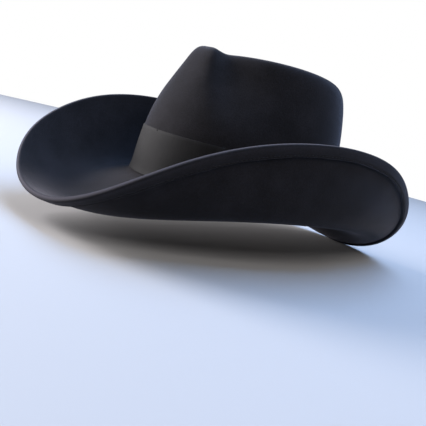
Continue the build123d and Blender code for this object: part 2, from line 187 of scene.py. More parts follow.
class Sheet:
    """The felt's outer face sampled at a list of headings, and places measured from it."""
    TURN, STEP = 0.05, 1e-3        # half the difference in heading and in parameter that slopes use
    HALVINGS = 24

    def __init__(self, heading):
        self.heading = np.asarray(heading, float)
        self.rows = control_rows(self.heading)
        self.ahead = control_rows(self.heading + self.TURN)
        self.behind = control_rows(self.heading - self.TURN)

    def full(self, t):
        """A parameter or a list of them, one for each heading."""
        return np.asarray(t, float) + np.zeros(len(self.heading))

    def normal(self, t):
        t = np.clip(self.full(t), self.STEP, SPANS - 0.02)
        along = spline(self.rows, t + self.STEP) - spline(self.rows, t - self.STEP)
        return unit(np.cross(spline(self.ahead, t) - spline(self.behind, t), along))

    def offset(self, t, depth):
        """Points at a depth under the outer face, towards the head."""
        t = self.full(t)
        point = spline(self.rows, t)
        normal = np.where((t >= SPANS)[..., None], [0.0, 0.0, 1.0], self.normal(t))
        return point - normal * np.asarray(depth)[..., None]

    def at_height(self, z, rows=None):
        """Parameter where the crown wall passes height z."""
        rows = self.rows if rows is None else rows
        low, high = self.full(3.0), self.full(10.5)
        for _ in range(self.HALVINGS):
            middle = (low + high) / 2
            below = spline(rows, middle)[:, 2] < z
            low, high = np.where(below, middle, low), np.where(below, high, middle)
        return (low + high) / 2

    def from_edge(self, distances):
        """Parameters (m, n) at distances in from the brim edge, measured along the brim."""
        t = np.linspace(0, 2.4, 241)[:, None] + np.zeros(len(self.heading))
        gone = np.cumsum(np.linalg.norm(np.diff(spline(self.rows, t), axis=0), axis=2), axis=0)
        gone = np.vstack([np.zeros(len(self.heading)), gone])
        places = [np.interp(distances, gone[:, i], t[:, i]) for i in range(len(self.heading))]
        return np.stack(places, 1)

    def wall(self, z, depth):
        """Points level with z, a horizontal depth inside the wall, plumb under its straight part."""
        level = np.maximum(z, STRAIGHT_WALL)
        here = spline(self.rows, self.at_height(level))
        ahead = spline(self.ahead, self.at_height(level, self.ahead))
        behind = spline(self.behind, self.at_height(level, self.behind))
        along = unit((ahead - behind) * [1, 1, 0])
        outwards = np.stack([along[:, 1], -along[:, 0], 0 * along[:, 0]], 1)
        point = here - outwards * (np.asarray(depth) + 0 * level)[..., None]
        point[:, 2] = z
        return point


def plan_point(heading, distance, z):
    """Points at a distance outside the oval of the head opening."""
    a = np.radians(np.asarray(heading, float))
    point = np.stack([OPENING_HALF_WIDTH * np.sin(a), -OPENING_HALF_LENGTH * np.cos(a)], -1)
    normal = unit(np.stack([OPENING_HALF_LENGTH * np.sin(a), -OPENING_HALF_WIDTH * np.cos(a)], -1))
    point = point + normal * np.asarray(distance)[..., None]
    return np.concatenate([point, (np.asarray(z) + 0 * a)[..., None]], -1)


# ============================== mesh making ==============================

SHAPE_SEED, WAVE_COUNT, SHORTEST_WAVE, LONGEST_WAVE, UNEVENNESS = 11, 14, 60, 170, 0.16
shape_rng = np.random.default_rng(SHAPE_SEED)
SHAPE_WAVES = [(unit(shape_rng.normal(size=3)), shape_rng.uniform(SHORTEST_WAVE, LONGEST_WAVE),
                shape_rng.uniform(0, 6.28), shape_rng.normal(size=3) * UNEVENNESS)
               for _ in range(WAVE_COUNT)]


def hand_shaped(points):
    """The slight unevenness of a hat shaped by hand, the same for every piece, in millimetres."""
    moved = points.copy()
    for direction, length, phase, push in SHAPE_WAVES:
        moved += push * np.sin(points @ direction * (2 * math.pi / length) + phase)[..., None]
    return moved


def add_piece(name, points, faces, material, uv=None, marks=None):
    """Closed mesh from points in mm and a list of face index arrays; rides on the body."""
    points = hand_shaped(points.reshape(-1, 3)) * MM
    loops = np.concatenate([f.ravel() for f in faces])
    totals = np.concatenate([np.full(len(f), f.shape[1]) for f in faces])
    starts = np.concatenate([[0], np.cumsum(totals)[:-1]])
    quad = np.concatenate([f[:, :4] for f in faces])
    a, b, c, d = (points[quad[:, i]] for i in range(4))
    volume = np.einsum("ij,ij->i", a, np.cross(b, c) + np.cross(c, d)).sum()
    mesh = bpy.data.meshes.new(name)
    mesh.vertices.add(len(points))
    mesh.vertices.foreach_set("co", points.ravel())
    mesh.loops.add(len(loops))
    mesh.loops.foreach_set("vertex_index", loops.astype(np.int32))
    mesh.polygons.add(len(totals))
    mesh.polygons.foreach_set("loop_start", starts.astype(np.int32))
    mesh.polygons.foreach_set("use_smooth", np.ones(len(totals), bool))
    mesh.update(calc_edges=True)
    if uv is not None:
        layer = mesh.uv_layers.new(name="metres")
        layer.data.foreach_set("uv", (uv * MM).ravel().astype(np.float32))
    for key, values in (marks or {}).items():
        attribute = mesh.attributes.new(key, "FLOAT", "POINT")
        attribute.data.foreach_set("value", values.ravel().astype(np.float32))
    if volume < 0:
        mesh.flip_normals()
    mesh.validate()
    mesh.materials.append(material)
    piece = bpy.data.objects.new(name, mesh)
    bpy.context.scene.collection.objects.link(piece)
    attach(piece, ROOT)
    return piece


def grid_faces(rows, columns, loop, around):
    """Quads of a grid whose rows and columns may close on themselves, and their open corner indices."""
    r, c = np.meshgrid(np.arange(rows - (not loop)), np.arange(columns - (not around)), indexing="ij")
    corners = [(r, c), (r + 1, c), (r + 1, c + 1), (r, c + 1)]
    quads = np.stack([(i % rows) * columns + j % columns for i, j in corners], -1).reshape(-1, 4)
    open_corners = np.stack([i * (columns + around) + j for i, j in corners], -1).reshape(-1)
    return quads, open_corners


def weld_crease(points):
    """Used point numbers and quads of a ring grid (rows, columns, 3) whose first and last rows lie on
    the crease.  They are laid on its line there, each point one with its mirror image."""
    rows, columns = points.shape[:2]
    quads, _ = grid_faces(rows, columns, False, True)
    number = np.arange(rows * columns).reshape(rows, columns)
    mirror = np.minimum(np.arange(columns), (columns - np.arange(columns)) % columns)
    for row in (0, rows - 1):
        points[row, :, 0] = 0.0
        number[row] = number[row, mirror]
    used, quads = np.unique(number.ravel()[quads], return_inverse=True)
    return used, quads.reshape(-1, 4)


def ring_piece(name, points, material, around=True):
    """Piece from points (rows, columns, 3): each column is a closed section, top of its outer side
    first.  Columns close round the hat, or the strip's two ends are capped."""
    rows, columns = points.shape[:2]
    quads, open_corners = grid_faces(rows, columns, True, around)
    faces = [quads]
    wrapped = np.concatenate([points, points[:1]], 0)
    if around:
        wrapped = np.concatenate([wrapped, wrapped[:, :1]], 1)
    step_u = np.linalg.norm(np.diff(wrapped, axis=1), axis=2).mean(0)
    step_v = np.linalg.norm(np.diff(wrapped, axis=0), axis=2).mean(1)
    u, v = np.concatenate([[0], np.cumsum(step_u)]), np.concatenate([[0], np.cumsum(step_v)])
    uv = np.stack(np.meshgrid(v, u, indexing="ij")[::-1], -1).reshape(-1, 2)[open_corners]
    if not around:
        for column, order in ((0, 1), (columns - 1, -1)):
            faces.append(np.arange(rows)[None, ::order] * columns + column)
            uv = np.concatenate([uv, np.zeros((rows, 2))])
    return add_piece(name, points, faces, material, uv)


def circle(count):
    """Angles evenly spaced round a circle, in radians."""
    return np.arange(count) * 2 * math.pi / count


def all_round(count):
    """Headings evenly spaced round the hat, in degrees."""
    return np.arange(count) * 360.0 / count


def thread_faces(count, rings, around):
    """Faces of many short closed threads."""
    quads, _ = grid_faces(rings, around, False, True)
    size = rings * around
    start = (np.arange(count) * size)[:, None, None]
    sides = (quads[None] + start).reshape(-1, 4)
    first = np.arange(around)[None, None] + start
    last = (np.arange(around)[::-1] + size - around)[None, None] + start
    return [sides, np.concatenate([first, last]).reshape(-1, around)]


def stitches(name, ends_a, ends_b, normal, radius, lift, material, rings=9, around=8):
    """Twisted two-ply stitches from ends_a to ends_b (n, 3), arched along normal, ends sunk in."""
    run = ends_b - ends_a
    ahead = unit(run)
    normal = unit(normal - ahead * np.einsum("ij,ij->i", normal, ahead)[:, None])
    side = np.cross(ahead, normal)
    x = np.linspace(-1, 1, rings)
    x = np.sign(x) * np.abs(x) ** 0.8
    phi = circle(around)
    ply = 1 + 0.16 * np.cos(2 * phi[None] - 7.0 * x[:, None])
    r = radius * np.sqrt(np.maximum(1 - x ** 6, 0.02))[:, None] * ply
    centre = (ends_a + ends_b)[:, None] / 2 + run[:, None] * x[None, :, None] / 2
    centre = centre + normal[:, None] * (lift * (1 - x ** 4) - radius * x ** 4)[None, :, None]
    across = normal[:, None, None] * (r * np.cos(phi))[None, ..., None]
    across = across + side[:, None, None] * (r * np.sin(phi))[None, ..., None]
    points = centre[:, :, None] + across
    return add_piece(name, points, thread_faces(len(run), rings, around), material)


# ============================== materials ==============================

def shader(name, colour, roughness, **sockets):
    """Principled material with its uniform values set on the shader, and a helper to add nodes."""
    material = bpy.data.materials.new(name)
    material.use_nodes = True
    tree = material.node_tree
    surface = tree.nodes["Principled BSDF"]
    surface.inputs["Base Color"].default_value = (*colour, 1)
    surface.inputs["Roughness"].default_value = roughness
    for key, value in sockets.items():
        surface.inputs[key.replace("_", " ")].default_value = value

    def node(kind, inputs=None, **settings):
        made = tree.nodes.new(kind)
        for key, value in settings.items():
            setattr(made, key, value)
        for key, value in (inputs or {}).items():
            if isinstance(value, bpy.types.NodeSocket):
                tree.links.new(value, made.inputs[key])
            else:
                made.inputs[key].default_value = value
        return made
    return material, surface, node


def tone(node, factor, dark, light, low=0.3, high=0.7):
    """Colour between dark and light by a factor."""
    ramp = node("ShaderNodeValToRGB", {"Fac": factor})
    ramp.color_ramp.elements[0].position, ramp.color_ramp.elements[1].position = low, high
    ramp.color_ramp.elements[0].color = (*dark, 1)
    ramp.color_ramp.elements[1].color = (*light, 1)
    return ramp.outputs["Color"]


def noise(node, vector, scale, detail=3.0, rough=0.55):
    """Smooth random values, about 0.3 to 0.7."""
    values = {"Vector": vector, "Scale": scale, "Detail": detail, "Roughness": rough}
    return node("ShaderNodeTexNoise", values).outputs["Fac"]


def mixed(node, factor, a, b, kind="MIX"):
    """Colour mix; its colour sockets are numbers 6 and 7, and its colour result number 2."""
    return node("ShaderNodeMix", {0: factor, 6: a, 7: b}, data_type="RGBA", blend_type=kind).outputs[2]


def combine(node, a, b):
    """Product of two colours."""
    return mixed(node, 1.0, a, b, "MULTIPLY")


def add_values(node, a, b, gain):
    """a plus b times the gain."""
    return node("ShaderNodeMath", {0: b, 1: gain, 2: a}, operation="MULTIPLY_ADD").outputs[0]


def bump(node, surface, height, strength, distance):
    """Fine relief of a surface, its distance in metres."""
    made = node("ShaderNodeBump", {"Height": height, "Strength": strength, "Distance": distance})
    made.id_data.links.new(made.outputs["Normal"], surface.inputs["Normal"])


def wool_felt():
    """Matt black felt: cloudy dye, flecks and nap, paler where a mesh attribute says: painted highlight
    along the brim's edge, and wear.
    """
    material, surface, node = shader("wool_felt", (0.010, 0.010, 0.012), 0.95, Sheen_Weight=0.16,
                                     Sheen_Roughness=0.35, Sheen_Tint=(0.90, 0.88, 1.0, 1),
                                     Specular_IOR_Level=0.12)
    where = node("ShaderNodeTexCoord").outputs["Object"]
    clouds = noise(node, where, scale=34.0, detail=5.0, rough=0.6)
    flecks = noise(node, where, scale=900.0, detail=2.0, rough=0.7)
    nap = noise(node, where, scale=2400.0, detail=3.0, rough=0.65)
    base = tone(node, clouds, (0.0078, 0.0075, 0.0084), (0.0140, 0.0134, 0.0156))
    fleck = tone(node, flecks, (0.72, 0.72, 0.72), (1.25, 1.25, 1.28), high=0.72)
    base = combine(node, base, fleck)
    wear_and_painted_highlight = node("ShaderNodeAttribute", attribute_name="wear_and_painted_highlight").outputs["Fac"]
    # Pale bluish grey mixed in where the attribute is high: painted highlight along the brim's edge,
    # together with wear.
    wear_and_highlight = mixed(node, wear_and_painted_highlight, base, (0.060, 0.057, 0.069, 1))
    surface.id_data.links.new(wear_and_highlight, surface.inputs["Base Color"])
    height = add_values(node, nap, flecks, gain=1.6)
    bump(node, surface, height, strength=0.55, distance=0.00022)
    return material


def grosgrain(name, dark, light):
    """Ribbon yarn, streaked along the ribs."""
    material, surface, node = shader(name, dark, 0.62, Sheen_Weight=0.07, Sheen_Roughness=0.5,
                                     Sheen_Tint=(0.95, 0.97, 1.0, 1), Specular_IOR_Level=0.09)
    where = node("ShaderNodeTexCoord").outputs["UV"]
    along_ribs = node("ShaderNodeMapping", {"Vector": where, "Scale": (1.0, 0.06, 1.0)}).outputs["Vector"]
    streaks = noise(node, along_ribs, scale=1300.0, detail=2.0)
    clouds = noise(node, where, scale=45.0)
    weave = noise(node, where, scale=5200.0, detail=1.0)
    base = combine(node, tone(node, clouds, dark, light), tone(node, streaks, (0.8,) * 3, (1.2,) * 3))
    surface.id_data.links.new(base, surface.inputs["Base Color"])
    height = add_values(node, streaks, weave, gain=0.7)
    bump(node, surface, height, strength=0.4, distance=0.00012)
    return material


def thread(name, dark, light):
    """Sewing thread with fine fibres."""
    material, surface, node = shader(name, dark, 0.65, Sheen_Weight=0.08, Sheen_Roughness=0.4,
                                     Specular_IOR_Level=0.15)
    where = node("ShaderNodeTexCoord").outputs["Object"]
    fibres = noise(node, where, scale=3200.0, detail=2.0)
    surface.id_data.links.new(tone(node, fibres, dark, light), surface.inputs["Base Color"])
    bump(node, surface, fibres, strength=0.5, distance=0.0001)
    return material


def sweat_leather():
    """Thin brown leather with creases between its cells and small pores."""
    material, surface, node = shader("roan_leather", (0.09, 0.055, 0.035), 0.42, Coat_Weight=0.12,
                                     Coat_Roughness=0.3)
    where = node("ShaderNodeTexCoord").outputs["Object"]
    clouds = noise(node, where, scale=30.0, detail=5.0)
    pores = node("ShaderNodeTexVoronoi", {"Vector": where, "Scale": 1500.0, "Randomness": 1.0})
    cells = node("ShaderNodeTexVoronoi", {"Vector": where, "Scale": 620.0}, feature="DISTANCE_TO_EDGE")
    hide = tone(node, clouds, (0.070, 0.040, 0.024), (0.128, 0.080, 0.050))
    creases = tone(node, cells.outputs["Distance"], (0.74,) * 3, (1.05,) * 3, low=0.0, high=0.16)
    surface.id_data.links.new(combine(node, hide, creases), surface.inputs["Base Color"])
    height = add_values(node, cells.outputs["Distance"], pores.outputs["Distance"], gain=0.35)
    bump(node, surface, height, strength=0.35, distance=0.00025)
    return material


def satin(name, dark, light):
    """Glossy cloth whose yarns lie along V."""
    material, surface, node = shader(name, dark, 0.34, Anisotropic=0.6, Sheen_Weight=0.25,
                                     Sheen_Roughness=0.3, Specular_IOR_Level=0.6)
    where = node("ShaderNodeTexCoord").outputs["UV"]
    floats = node("ShaderNodeMapping", {"Vector": where, "Scale": (1.0, 0.12, 1.0)}).outputs["Vector"]
    yarns = noise(node, floats, scale=4200.0, detail=1.0)
    clouds = noise(node, where, scale=60.0)
    base = combine(node, tone(node, clouds, dark, light), tone(node, yarns, (0.86,) * 3, (1.12,) * 3))
    surface.id_data.links.new(base, surface.inputs["Base Color"])
    bump(node, surface, yarns, strength=0.3, distance=0.00006)
    return material


def twill_tape():
    """Dark tape with slanted ridges."""
    material, surface, node = shader("twill_tape", (0.03, 0.028, 0.028), 0.7, Sheen_Weight=0.2,
                                     Sheen_Roughness=0.5)
    where = node("ShaderNodeTexCoord").outputs["UV"]
    turned = node("ShaderNodeMapping", {"Vector": where, "Rotation": (0, 0, 0.9)}).outputs["Vector"]
    ridges = node("ShaderNodeTexWave", {"Vector": turned, "Scale": 420.0, "Distortion": 0.6})
    fibres = noise(node, where, scale=3800.0, detail=2.0)
    twill = tone(node, ridges.outputs["Fac"], (0.020,) * 3, (0.042, 0.040, 0.040), low=0.1, high=0.9)
    base = combine(node, twill, tone(node, fibres, (0.8,) * 3, (1.2,) * 3))
    surface.id_data.links.new(base, surface.inputs["Base Color"])
    height = add_values(node, ridges.outputs["Fac"], fibres, gain=0.5)
    bump(node, surface, height, strength=0.6, distance=0.0002)
    return material


def reed_cord():
    """Pale smooth cord."""
    material, surface, node = shader("reed_cord", (0.45, 0.40, 0.30), 0.38)
    where = node("ShaderNodeTexCoord").outputs["Object"]
    marks = noise(node, where, scale=500.0)
    surface.id_data.links.new(tone(node, marks, (0.36, 0.31, 0.22), (0.52, 0.47, 0.36)),
                              surface.inputs["Base Color"])
    bump(node, surface, marks, strength=0.2, distance=0.0001)
    return material


FELT_LOOK = wool_felt()
RIBBON_LOOK = grosgrain("grosgrain", (0.0078, 0.0078, 0.0080), (0.0116, 0.0116, 0.0119))
FELT_THREAD = thread("felt_thread", (0.006, 0.006, 0.007), (0.013, 0.013, 0.015))
LEATHER_THREAD = thread("leather_thread", (0.20, 0.16, 0.11), (0.34, 0.28, 0.20))
LEATHER_LOOK = sweat_leather()
SATIN_LOOK = satin("lining_satin", (0.075, 0.072, 0.078), (0.110, 0.105, 0.112))
PIPING_LOOK = satin("piping_satin", (0.030, 0.029, 0.031), (0.050, 0.048, 0.052))
BOW_LOOK = satin("bow_satin", (0.020, 0.020, 0.022), (0.034, 0.034, 0.037))
TAPE_LOOK = twill_tape()
REED_LOOK = reed_cord()


# ============================== felt ==============================

def even_spread(sheet, start, count):
    """Parameters (count, n) from start (n,) up to the crease, about evenly spaced along the felt."""
    share = np.linspace(0, 1, 400)[:, None]
    t = start + (SPANS - start) * share
    gone = np.cumsum(np.linalg.norm(np.diff(spline(sheet.rows, t), axis=0), axis=2).mean(1))
    gone = np.concatenate([[0], gone / gone[-1]])
    share = np.interp(np.linspace(0, 1, count), gone, share[:, 0])[:, None]
    return start + (SPANS - start) * share


def groove(distance, centre, width, deep):
    """Depth of a smooth groove at a distance."""
    return deep * np.exp(-((distance - centre) / width) ** 2)


def outer_welt(sheet):
    """Rows (t, depth, wear and painted highlight) of the outer face over the welt, with the shallow dip
    along its seam.
    """
    edge_in = np.array([*WELT_ROWS, 10.4, 11.6, 12.8])[::-1]
    # A faint painted highlight next to the brim's edge.
    wear_and_highlight = 0.1 * np.exp(-(edge_in / 2.2) ** 6)
    return sheet.from_edge(edge_in), groove(edge_in, WELT_SEAM, 0.6, 0.05), wear_and_highlight


def rounded_edge(sheet):
    """Rows (t, depth, wear and painted highlight) round the brim's edge, from the outer side to the
    underside.
    """
    turned = np.linspace(0, math.pi, 17)[1:-1]
    fold = np.cos(turned)
    half = WELT_THICKNESS / 2
    depth = half - half * np.sign(fold) * np.abs(fold) ** EDGE_SQUARENESS
    # Painted highlight: a narrow pale line near the top of the edge's face, with a little wear all round
    # the edge.
    wear_and_highlight = 0.1 + 0.9 * np.exp(-((turned - 1.4) / 0.36) ** 2)
    return sheet.from_edge(EDGE_ROUND - EDGE_ROUND * np.sin(turned) ** EDGE_SQUARENESS), depth, wear_and_highlight


def welt_underside(sheet):
    """Rows (t, depth, wear and painted highlight) of the turned-under margin, plump, and drawn in along
    its seam.
    """
    edge_in = np.array(WELT_ROWS)
    depth = WELT_THICKNESS + 0.18 * np.sin(math.pi * edge_in / WELT_WIDTH)
    depth = depth - groove(edge_in, WELT_SEAM, 0.45, 0.4)
    # Paler next to the edge: painted highlight and wear.
    return sheet.from_edge(edge_in), depth, 0.33 * np.exp(-(edge_in / 4.5) ** 2)


def cut_margin(sheet):
    """Rows (t, depth, painted highlight) down the margin's cut edge, which wanders a little, to the
    felt's inside.
    """
    edge_in = np.array([9.85, 9.98, 10.04, 10.06, 10.10, 10.25, 10.6, 11.4, 12.6])
    depth = np.array([4.32, 4.05, 3.5, 2.85, 2.38, 2.22, FELT, FELT, FELT])
    a = np.radians(sheet.heading)
    wander = 0.25 * np.sin(a * 23) + 0.15 * np.sin(a * 57 + 1)
    slope = sheet.from_edge([WELT_WIDTH + 0.5])[0] - sheet.from_edge([WELT_WIDTH - 0.5])[0]
    t = sheet.from_edge(edge_in) + slope * wander * np.exp(-((edge_in - WELT_WIDTH) / 0.5) ** 2)[:, None]
    # A pale line along the cut edge: painted highlight of the edge catching the light.
    return t, depth, 0.5 * np.exp(-((edge_in - WELT_WIDTH) / 0.25) ** 2)


def felt_hood():
    """Crown and brim: outer face, rounded edge, turned-under welt with its cut edge, inner face."""
    sheet = Sheet(all_round(640))
    start = sheet.from_edge([WELT_END])[0]
    outer, inner = even_spread(sheet, start, 170)[::-1], even_spread(sheet, start, 120)

    def plain(rows, depth):
        return rows, np.full(len(rows), depth), np.zeros(len(rows))

    parts = [plain(outer, 0.0), outer_welt(sheet), rounded_edge(sheet), welt_underside(sheet),
             cut_margin(sheet), plain(inner, FELT)]
    t, depth, wear_and_highlight = (np.concatenate(values) for values in zip(*parts))
    normals = np.stack([sheet.normal(row) for row in t])
    normals[[0, -1]] = [0.0, 0.0, 1.0]
    points = spline(sheet.rows, t) - normals * depth[:, None, None]
    used, quads = weld_crease(points)

    turn = np.abs((sheet.heading + 180) % 360 - 180)
    # Stronger at the front, which faces the key lamp: painted light, together with wear where the hat is
    # held.
    handling_and_key_light = 0.40 + 0.55 * np.exp(-(turn / 34) ** 2) + 0.05 * np.sin(np.radians(sheet.heading) * 9 + 2)
    wear_and_painted_highlight = (wear_and_highlight[:, None] * handling_and_key_light[None]).reshape(-1)[used]
    piece = add_piece("felt_hood", points.reshape(-1, 3)[used], [quads], FELT_LOOK,
                      marks={"wear_and_painted_highlight": wear_and_painted_highlight})
    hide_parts("felt_body")


def seam_places(line, pitch, share, start=0.0):
    """Headings of both ends of stitches spaced evenly along a seam that line(headings) gives."""
    heading = start + np.linspace(0, 360, 721)
    gone = np.cumsum(np.linalg.norm(np.diff(line(heading), axis=0), axis=1))
    gone = np.concatenate([[0], gone])
    ends = np.interp(np.linspace(0, gone[-1], int(gone[-1] / pitch) + 1), gone, heading)
    return ends[:-1], ends[:-1] + np.diff(ends) * share


def welt_stitches():
    """Row of stitches through the welt, seen on the underside only."""
    def seam(heading, sunk=0.0):
        sheet = Sheet(heading)
        return sheet.offset(sheet.from_edge([WELT_SEAM])[0], np.full(len(heading), WELT_THICKNESS - sunk))

    start, end = seam_places(seam, WELT_PITCH, WELT_SHOWS)
    sheet = Sheet(end)
    down = -sheet.normal(sheet.from_edge([WELT_SEAM])[0])
    piece = stitches("welt_stitches", seam(start, sunk=0.12), seam(end, sunk=0.12), down,
                     radius=WELT_THREAD, lift=0.16, material=FELT_THREAD)
    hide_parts("welt_stitching")


# ============================== ribbon ==============================

def rib_pattern(samples):
    """Rounded ribs of a ribbon, four samples to a rib, 0 to 1."""
    return np.resize(RIB_PROFILE, samples)


def hat_band():
    """Grosgrain ribbon with real ribs, its end lapped over its start under the bow."""
    span = 360.0 + LAP_END - LAP_START
    ribs = int(2 * math.pi * BAND_RADIUS * span / 360 / RIB_PITCH)
    heading = LAP_START + np.linspace(0, span, ribs * 4 + 1)
    sheet = Sheet(heading)
    rib = rib_pattern(len(heading))
    lap = np.clip((heading - (360 + LAP_START - 3)) / LAP_RAMP, 0, 1)
    lift = LAP_LIFT * lap * lap * (3 - 2 * lap)
    a = np.radians(heading)
    slack = 0.12 + 0.12 * np.sin(a * 5 + 0.6) + 0.06 * np.sin(a * 13)
    levels = np.concatenate([[BAND_HIGH, BAND_HIGH - 0.3, BAND_HIGH - 1.0],
                             np.linspace(BAND_HIGH - 3, BAND_LOW + 3, 10),
                             [BAND_LOW + 1.0, BAND_LOW + 0.3, BAND_LOW]])

    def row(level, depth, ribbed):
        share = (level - BAND_LOW) / (BAND_HIGH - BAND_LOW)
        picot = 0.10 * rib * (1 if share > 0.97 else -1 if share < 0.03 else 0)
        loose = slack * (0.3 + 0.7 * abs(2 * share - 1))
        return sheet.offset(sheet.at_height(level + picot), -(depth + lift + loose + ribbed * 0.09 * rib))

    thinner = np.zeros(len(levels))
    thinner[[0, 1, -2, -1]] = 0.12
    points = [row(z, BAND_GAP + RIBBON - thin, 1.0) for z, thin in zip(levels, thinner)]
    points += [row(z, BAND_GAP, -0.4) for z in levels[::-1]]
    piece = ring_piece("grosgrain_band", np.stack(points), RIBBON_LOOK, around=False)
    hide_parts("hat_band")


def ribbon_on_path(name, path, low, high, ribs_across, material, squeeze=None, thickness=RIBBON):
    """Ribbon whose flat side follows path(u) -> (heading turn, distance), its width along Z."""
    samples = ribs_across * 4 + 1
    u = np.linspace(0, 1, samples)
    turn, distance = path(u)
    line = plan_point(BOW_HEADING + turn, distance, 0.0)
    ahead = unit(np.gradient(line, axis=0))
    side = np.stack([ahead[:, 1], -ahead[:, 0], 0 * turn], 1)
    rib = rib_pattern(samples)
    width_levels = np.concatenate([[1, 0.985, 0.95], np.linspace(0.85, -0.85, 14), [-0.95, -0.985, -1]])
    pinch, pleat = squeeze(turn) if squeeze else (1 + 0 * turn, 0 * turn)
    middle, half = (low + high) / 2, (high - low) / 2
    rows = []
    for way, levels in ((1, width_levels), (-1, width_levels[::-1])):
        for w in levels:
            out = way * (thickness / 2 + 0.05 * rib)
            fold = pleat * np.sin(w * 7.5 + 0.6)
            p = line + side * (out + fold)[:, None]
            p = np.concatenate([p[:, :2], (middle + half * w * pinch)[:, None]], 1)
            rows.append(p)
    return ring_piece(name, np.stack(rows), material, around=False)


def smooth_path(points):
    """Clamped cubic spline path through the plane from control points (turn, distance)."""
    rows = np.array([[(a, b, 0.0)] for a, b in points], float)

    def path(u):
        at = spline(np.repeat(rows, len(u), axis=1), np.asarray(u) * (len(points) - 3))
        return at[:, 0], at[:, 1]
    return path


def band_bow():
    """Two flat loops of ribbon, gathered where the knot holds them."""
    def squeeze(turn):
        gather = np.exp(-(np.abs(turn) / 6.0) ** 2)
        return 1 - 0.13 * gather, 0.45 * gather

    loop = [(-0.6, 4.45), (4, 4.4), (10, 4.35), (15, 4.4), (18.4, 4.5), (19.1, 5.6), (18.6, 7.4),
            (15.5, 8.6), (11, 8.9), (7, 8.0), (5, 6.6), (3, 6.1), (-0.6, 6.05)]
    for side, name in ((1, "bow_loop_rear"), (-1, "bow_loop_front")):
        path = smooth_path([(side * a, b) for a, b in loop])
        ribbon_on_path(name, path, BOW_LOW + 0.2, BOW_HIGH - 0.2, 100, RIBBON_LOOK,
                                    squeeze)
    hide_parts("band_bow")


def bow_knot():
    """Short ribbon wrapped round the bow's middle, its sides curled a little."""
    ribs, half_turn, squareness = 128, 4.2, 12.0
    low, high, near, far = BOW_LOW - 0.2, BOW_HIGH + 0.2, 3.75, 6.75
    c, s = np.cos(circle(ribs * 4)), np.sin(circle(ribs * 4))
    radius = (np.abs(c) ** squareness + np.abs(s) ** squareness) ** (-1 / squareness)
    centre_distance = (near + far) / 2 + (far - near) / 2 * radius * c
    centre_level = (low + high) / 2 + (high - low) / 2 * radius * s
    out_distance, out_level = c / (far - near), s / (high - low)
    size = np.hypot(out_distance, out_level)
    across = np.linspace(half_turn, -half_turn, 15)
    rows = []
    for thickness, turns in ((RIBBON + 0.05 * rib_pattern(ribs * 4), across), (0.0, across[::-1])):
        for turn in turns:
            out = (thickness - 0.22 * (abs(turn) / half_turn) ** 3) / size
            rows.append(plan_point(BOW_HEADING + turn + 0 * c, centre_distance + out_distance * out,
                                   centre_level + out_level * out))
    piece = ring_piece("bow_wrap", np.stack(rows), RIBBON_LOOK)
    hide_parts("bow_knot")


def band_tacks():
    """Pairs of small stitches that hold the band's top edge to the crown."""
    heading = np.ravel([(place - TACK_HALF_GAP, place + TACK_HALF_GAP) for place in TACK_HEADINGS])
    sheet = Sheet(heading)
    foot_depth = np.full(len(heading), -BAND_GAP - RIBBON - 0.28)
    foot = sheet.offset(sheet.at_height(BAND_HIGH - 1.7), foot_depth)
    head = sheet.offset(sheet.at_height(BAND_HIGH + 1.2), np.full(len(heading), -0.15))
    normal = sheet.normal(sheet.at_height(BAND_HIGH))
    piece = stitches("band_tack_stitches", foot, head, normal,
                     radius=TACK_THREAD, lift=0.35, material=FELT_THREAD)
    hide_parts("band_tacks")


# ============================== inside the crown ==============================

def sweatband():
    """Leather strip with rounded edges and a creased line near its top, its ends butted at the back."""
    gap, edge_round = 0.25, 0.6
    heading = BACK + np.linspace(gap, 360 - gap, 900)
    sheet = Sheet(heading)
    edge_steps = np.array([0.0, 0.15, 0.5])
    levels = np.concatenate([SWEAT_HIGH - edge_steps, [SWEAT_HIGH - 1.0],
                             np.linspace(SWEAT_CREASE + 0.8, SWEAT_CREASE - 0.8, 9),
                             np.linspace(50.5, 3.5, 40), [2.4], SWEAT_LOW + edge_steps[::-1]])
    lean = 0.35 * np.sin(np.radians(heading) * 3 + 1) + 0.2 * np.sin(np.radians(heading) * 7)

    def side(level, depth):
        share = (level - SWEAT_LOW) / (SWEAT_HIGH - SWEAT_LOW)
        return sheet.wall(level, depth + 0.25 * share * (1 + lean))

    def plump(level):
        edge_in = min(level - SWEAT_LOW, SWEAT_HIGH - level)
        return math.sqrt(max(0.0, 1 - max(0.0, 1 - edge_in / edge_round) ** 2)) * 0.8 + 0.2

    def pressed(level):
        return groove(level, SWEAT_CREASE, 0.45, 0.28) + groove(level, SWEAT_SEAM, 0.7, 0.2)

    middle, half = (SWEAT_OUTSIDE + SWEAT_INSIDE) / 2, (SWEAT_INSIDE - SWEAT_OUTSIDE) / 2
    outer = [side(z, middle - half * plump(z)) for z in levels]
    inner = [side(z, middle + half * plump(z) - pressed(z)) for z in levels[::-1]]
    points = np.stack(outer + inner)
    piece = ring_piece("leather_sweatband", points, LEATHER_LOOK, around=False)
    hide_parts("sweatband")


